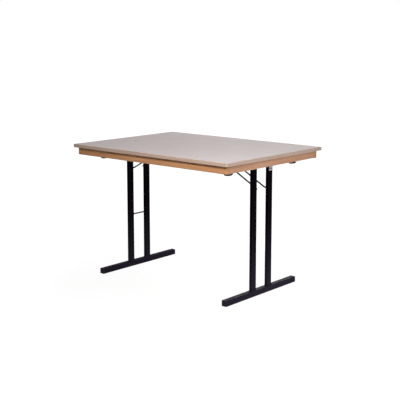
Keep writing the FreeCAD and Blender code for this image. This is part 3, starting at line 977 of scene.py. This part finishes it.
@dataclass
class TLeg:
    """One folding leg: two flat posts on a foot, welded to a pivot tube, with its wire strut."""

    side: Side
    finishes: Finishes
    has_cross_rod: bool
    weld_leg: float = 2.6 * MM
    ripple_pitch: float = 1.9 * MM
    ripple_depth: float = 0.22 * MM
    weld_step: float = 0.6 * MM
    # Points of a weld's section: reach and height as shares of weld_leg.
    weld_profile: tuple[Pair, ...] = ((0.78, 0.38), (0.42, 0.74), (0.06, 0.98))
    post_corner: float = 2.0 * MM
    corner_steps: int = 4
    bead_steps: int = 12
    bead_inset: float = 2.0 * MM
    bead_share: float = 0.8
    bead_drop: float = 1.0 / 3.0
    ring_steps: int = 24
    ring_bite: float = 0.9

    def node(self, word: str) -> str:
        """Name of one of this leg's nodes."""
        return self.side.value + "_" + word

    def build(self) -> None:
        """Dress the leg's pieces and make its welds and screws."""
        dress(self.finishes.steel,
              *[self.node(word) for word in ("post_front", "post_back", "foot_tube", "pivot_tube")])
        dress(self.finishes.plastic,
              *[self.node(word) for word in ("foot_cap_front", "foot_cap_back", "foot_glides")])
        dress(self.finishes.zinc, self.node("stop_plate"))
        dress(self.finishes.wire, self.node("strut_bail"))
        if self.has_cross_rod:
            dress(self.finishes.wire, self.node("cross_rod"))
        ScrewSet(self.node("stop_screws"), self.node("leg"), self.finishes.zinc).build()
        self.build_welds()

    def build_welds(self) -> None:
        """Make the weld beads of the leg as one piece."""
        shape = bmesh.new()
        tube_low, tube_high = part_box(self.node("pivot_tube"))
        tube_middle = (tube_low + tube_high) / 2.0
        tube_radius = (tube_high.z - tube_low.z) / 2.0
        foot_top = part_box(self.node("foot_tube"))[1].z
        for end in ("front", "back"):
            low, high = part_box(self.node("post_" + end))
            self.add_collar(shape, low, high, foot_top)
            for sign in (-1.0, 1.0):
                self.add_saddle_bead(shape, low, high, tube_middle, tube_radius, sign)
        if self.has_cross_rod:
            for sign in (-1.0, 1.0):
                self.add_rod_ring(shape, sign)
        Piece(self.node("leg_welds"), self.node("leg"), "black_steel", self.finishes.steel).place(shape)

    def ripple(self, run: float) -> float:
        """Rise and fall of a weld's scales along its run."""
        return self.ripple_depth * math.sin(math.tau * run / self.ripple_pitch)

    def add_collar(self, shape: bmesh.types.BMesh, low: Vector, high: Vector, floor: float) -> None:
        """Weld bead round the base of a post.

        Args:
            shape: Mesh that it is added to.
            low: Lowest corner of the post.
            high: Highest corner of the post.
            floor: Height of the foot's top face.
        """
        centre = Vector(((low.x + high.x) / 2.0, (low.y + high.y) / 2.0, floor))
        size = Vector((high.x - low.x, high.y - low.y, 0.0))
        top = self.collar_base(shape, centre, size)
        bead = set(top.verts)
        reach, height = 1.0, 0.0
        for next_reach, next_height in self.weld_profile:
            made = bmesh.ops.extrude_face_region(shape, geom=[top])["geom"]
            ring = [item for item in made if isinstance(item, bmesh.types.BMVert)]
            top = next(item for item in made if isinstance(item, bmesh.types.BMFace))
            grow = [(side + 2.0 * self.weld_leg * next_reach) / (side + 2.0 * self.weld_leg * reach)
                    for side in size.xy]
            rise = (next_height - height) * self.weld_leg
            bmesh.ops.scale(shape, vec=(*grow, 1.0), verts=ring, space=Matrix.Translation(-centre))
            bmesh.ops.translate(shape, vec=(0.0, 0.0, rise), verts=ring)
            bead.update(ring)
            reach, height = next_reach, next_height
        for vertex in bead:
            outward = Vector((vertex.co.x - centre.x, vertex.co.y - centre.y, 0.0)).normalized()
            vertex.co += outward * self.ripple(vertex.co.x + vertex.co.y)

    def collar_base(self, shape: bmesh.types.BMesh, centre: Vector, size: Vector) -> bmesh.types.BMFace:
        """Rounded face on the foot that a post's weld bead rises from.

        Args:
            shape: Mesh that it is added to.
            centre: Middle of the post on the foot's top face.
            size: Size of the post along X and Y.

        Returns:
            The face, with its sides divided for the bead's scales.
        """
        made = bmesh.ops.create_grid(shape, x_segments=1, y_segments=1, size=0.5)["verts"]
        outer = [side + 2.0 * self.weld_leg for side in size.xy]
        bmesh.ops.scale(shape, vec=(*outer, 1.0), verts=made)
        rounded = bmesh.ops.bevel(shape, geom=made, offset=self.post_corner + self.weld_leg,
                                  segments=self.corner_steps, profile=0.5, affect="VERTICES", material=-1)
        base = next(face for vertex in rounded["verts"] for face in vertex.link_faces)
        for edge in list(base.edges):
            cuts = int(edge.calc_length() / self.weld_step)
            if cuts:
                bmesh.ops.subdivide_edges(shape, edges=[edge], cuts=cuts)
        bmesh.ops.translate(shape, vec=centre, verts=base.verts)
        return base

    def add_saddle_bead(self, shape: bmesh.types.BMesh, low: Vector, high: Vector, tube: Vector,
                        radius: float, sign: float) -> None:
        """Weld bead along the line where a post's broad face meets the pivot tube.

        Args:
            shape: Mesh that it is added to.
            low: Lowest corner of the post.
            high: Highest corner of the post.
            tube: Middle of the pivot tube.
            radius: Radius of the pivot tube.
            sign: Which broad face, along X.
        """
        half_depth = (high.x - low.x) / 2.0
        drop = math.sqrt(radius ** 2 - half_depth ** 2) + self.weld_leg * self.bead_drop
        length = high.y - low.y - 2.0 * self.bead_inset
        bead_radius = self.weld_leg * self.bead_share
        middle = Vector((tube.x + sign * half_depth, (low.y + high.y) / 2.0, tube.z - drop))
        matrix = Matrix.Translation(middle) @ Matrix.Rotation(math.pi / 2.0, 4, "X")
        made = bmesh.ops.create_cone(shape, cap_ends=True, segments=self.bead_steps, radius1=bead_radius,
                                     radius2=bead_radius, depth=length, matrix=matrix)["verts"]
        long_edges = [edge for vertex in made for edge in vertex.link_edges
                      if abs(edge.verts[0].co.y - edge.verts[1].co.y) > length / 2.0]
        cut = bmesh.ops.subdivide_edges(
            shape, edges=list(dict.fromkeys(long_edges)), cuts=int(length / self.weld_step))
        for vertex in [item for item in cut["geom_inner"] if isinstance(item, bmesh.types.BMVert)]:
            outward = Vector((vertex.co.x - middle.x, 0.0, vertex.co.z - middle.z)).normalized()
            vertex.co += outward * self.ripple(vertex.co.y)

    def add_rod_ring(self, shape: bmesh.types.BMesh, sign: float) -> None:
        """Weld ring round one end of the cross rod.

        Args:
            shape: Mesh that it is added to.
            sign: Which end, along Y.
        """
        low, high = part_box(self.node("cross_rod"))
        radius = (high.x - low.x) / 2.0
        end = high.y if sign > 0.0 else low.y
        centre = Vector(((low.x + high.x) / 2.0, end, (low.z + high.z) / 2.0))
        inner = radius * self.ring_bite
        outline = [(inner, 0.0), (radius + self.weld_leg, 0.0)]
        for reach, height in self.weld_profile:
            outline.append((radius + self.weld_leg * reach, self.weld_leg * height))
        outline.append((inner, self.weld_leg))
        corners = [centre + Vector((out, -sign * run, 0.0)) for out, run in outline]
        spin_outline(shape, corners, centre, (0.0, 1.0, 0.0), self.ring_steps, closed=True)


@dataclass(frozen=True)
class Lamp:
    """A soft studio lamp, with its width and height in metres and its power in watts."""

    name: str
    place: Triple
    aim: Triple
    size: Pair
    power: float

    def build(self) -> None:
        """Add the lamp to the scene."""
        data = bpy.data.lights.new(self.name, "AREA")
        data.shape = "RECTANGLE"
        data.size, data.size_y = self.size
        data.energy = self.power
        lamp = bpy.data.objects.new(self.name, data)
        lamp.visible_camera = False
        lamp.location = self.place
        direction = Vector(self.aim) - Vector(self.place)
        lamp.rotation_euler = direction.to_track_quat("-Z", "Y").to_euler()
        bpy.context.scene.collection.objects.link(lamp)


@dataclass
class Studio:
    """Camera, soft lamps, white surroundings and a pale floor."""

    camera_place: Triple = (3.0477, -3.4324, 1.3359)
    camera_azimuth: float = math.radians(41.326)
    camera_pitch: float = math.radians(8.382)
    focal_pixels: float = 852.15
    image_pixels: float = 400.0
    sensor_width: float = 36.0
    axis_row: float = 160.0
    ambient: float = 0.025
    floor_reach: float = 30.0
    floor_tone: Colour = (0.8, 0.8, 0.8, 1.0)
    floor_glow: float = 1.1
    floor_glow_share: float = 0.82
    floor_near: float = 0.7
    floor_far: float = 1.6
    lamps: tuple[Lamp, ...] = (
        Lamp("key_lamp", place=(1.4, -1.35, 1.4), aim=(0.3, -0.2, 0.6), size=(0.6, 0.15), power=10.3),
        Lamp("front_lamp", place=(0.6, -1.4, 1.45), aim=(0.2, -0.2, 0.6), size=(0.6, 0.15), power=12.3),
        Lamp("right_lamp", place=(1.9, -0.4, 1.3), aim=(0.5, -0.1, 0.68), size=(0.5, 0.15), power=8.0),
        Lamp("overhead_lamp", place=(0.0, 0.5, 3.0), aim=(0.0, 0.1, 0.7), size=(2.4, 2.0), power=14.3),
        Lamp("rear_lamp", place=(-0.6, 1.6, 2.4), aim=(0.0, 0.2, 0.7), size=(1.2, 1.0), power=23.8),
        Lamp("foot_side_lamp", place=(1.15, 0.1, 0.15), aim=(0.447, 0.0, 0.1), size=(0.6, 0.2), power=4.0),
        Lamp("foot_back_lamp", place=(-0.3, 1.0, 0.4), aim=(0.447, 0.0, 0.03), size=(0.9, 0.3), power=6.5),
    )

    def build(self) -> None:
        """Set up the whole studio."""
        self.build_camera()
        self.build_surroundings()
        self.build_floor()
        for lamp in self.lamps:
            lamp.build()
        bpy.context.scene.view_settings.view_transform = "Standard"

    def build_camera(self) -> None:
        """Put the camera where the photograph was taken."""
        data = bpy.data.cameras.new("camera")
        data.sensor_width = self.sensor_width
        data.lens = self.focal_pixels / self.image_pixels * self.sensor_width
        data.shift_y = (self.axis_row - self.image_pixels / 2.0) / self.image_pixels
        camera = bpy.data.objects.new("camera", data)
        camera.location = self.camera_place
        camera.rotation_euler = (math.pi / 2.0 - self.camera_pitch, 0.0, self.camera_azimuth)
        bpy.context.scene.collection.objects.link(camera)
        bpy.context.scene.camera = camera

    def plain_white_rays(self, tree: bpy.types.NodeTree) -> Socket:
        """One for the rays that see plain white, and zero for the light that falls on things.

        Args:
            tree: Node tree that asks.

        Returns:
            The number.
        """
        path = tree.nodes.new("ShaderNodeLightPath")
        seen = path.outputs[RayKind.CAMERA.value]
        for kind in (RayKind.GLOSSY, RayKind.TRANSMISSION):
            larger = tree.nodes.new("ShaderNodeMath")
            larger.operation = "MAXIMUM"
            tree.links.new(seen, larger.inputs[0])
            tree.links.new(path.outputs[kind.value], larger.inputs[1])
            seen = larger.outputs[0]
        return seen

    def build_surroundings(self) -> None:
        """White all round for the camera and for reflections, and a softer light on the table."""
        world = bpy.data.worlds.new("surroundings")
        bpy.context.scene.world = world
        world.use_nodes = True
        tree = world.node_tree
        soft = tree.nodes["Background"]
        soft.inputs["Color"].default_value = WHITE
        soft.inputs["Strength"].default_value = self.ambient
        white = tree.nodes.new("ShaderNodeBackground")
        white.inputs["Color"].default_value = WHITE
        white.inputs["Strength"].default_value = 1.0
        mix = tree.nodes.new("ShaderNodeMixShader")
        tree.links.new(self.plain_white_rays(tree), mix.inputs["Fac"])
        tree.links.new(soft.outputs[0], mix.inputs[1])
        tree.links.new(white.outputs[0], mix.inputs[2])
        tree.links.new(mix.outputs[0], tree.nodes["World Output"].inputs["Surface"])

    def build_floor(self) -> None:
        """Pale floor that keeps a soft shadow and runs out into the white."""
        shape = bmesh.new()
        bmesh.ops.create_grid(shape, x_segments=2, y_segments=2, size=self.floor_reach)
        mesh = bpy.data.meshes.new("floor")
        shape.to_mesh(mesh)
        shape.free()
        mesh.materials.append(self.floor_material())
        floor = bpy.data.objects.new("floor", mesh)
        bpy.context.scene.collection.objects.link(floor)

    def floor_material(self) -> bpy.types.Material:
        """White to the camera but for the table's shadow, and a plain pale floor to the light.

        Returns:
            The floor's material.
        """
        material = bpy.data.materials.new("pale_floor")
        material.use_nodes = True
        tree = material.node_tree
        tree.nodes.clear()
        output = tree.nodes.new("ShaderNodeOutputMaterial")
        matt = tree.nodes.new("ShaderNodeBsdfDiffuse")
        matt.inputs["Color"].default_value = self.floor_tone
        glow = tree.nodes.new("ShaderNodeEmission")
        glow.inputs["Strength"].default_value = self.floor_glow
        seen = tree.nodes.new("ShaderNodeMixShader")
        tree.links.new(self.floor_glow_by_distance(tree), seen.inputs["Fac"])
        choice = tree.nodes.new("ShaderNodeMixShader")
        tree.links.new(matt.outputs[0], seen.inputs[1])
        tree.links.new(glow.outputs[0], seen.inputs[2])
        tree.links.new(self.plain_white_rays(tree), choice.inputs["Fac"])
        tree.links.new(matt.outputs[0], choice.inputs[1])
        tree.links.new(seen.outputs[0], choice.inputs[2])
        tree.links.new(choice.outputs[0], output.inputs["Surface"])
        return material

    def floor_glow_by_distance(self, tree: bpy.types.NodeTree) -> Socket:
        """Share of plain white in the floor, whole where it runs out behind the table.

        Args:
            tree: The floor's node tree.

        Returns:
            The share.
        """
        source = tree.nodes.new("ShaderNodeTexCoord")
        distance = tree.nodes.new("ShaderNodeVectorMath")
        distance.operation = "LENGTH"
        share = tree.nodes.new("ShaderNodeMapRange")
        share.inputs["From Min"].default_value = self.floor_near
        share.inputs["From Max"].default_value = self.floor_far
        share.inputs["To Min"].default_value = self.floor_glow_share
        share.inputs["To Max"].default_value = 1.0
        tree.links.new(source.outputs["Object"], distance.inputs[0])
        tree.links.new(distance.outputs["Value"], share.inputs["Value"])
        return share.outputs["Result"]


def main() -> None:
    """Dress the table and set up the studio."""
    logging.basicConfig(level=logging.INFO, format="%(message)s")
    corner = CAD_BOX[1]
    rail_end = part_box("frame_rail_front")[1].x
    finishes = Finishes(corner.x, corner.y, rail_end)
    TablePlate(finishes).build()
    BeechFrame(finishes).build()
    BearingSet(finishes).build()
    StrutMounts(finishes).build()
    TLeg(Side.LEFT, finishes, has_cross_rod=True).build()
    TLeg(Side.RIGHT, finishes, has_cross_rod=False).build()
    Studio().build()


if __name__ == "__main__":
    main()
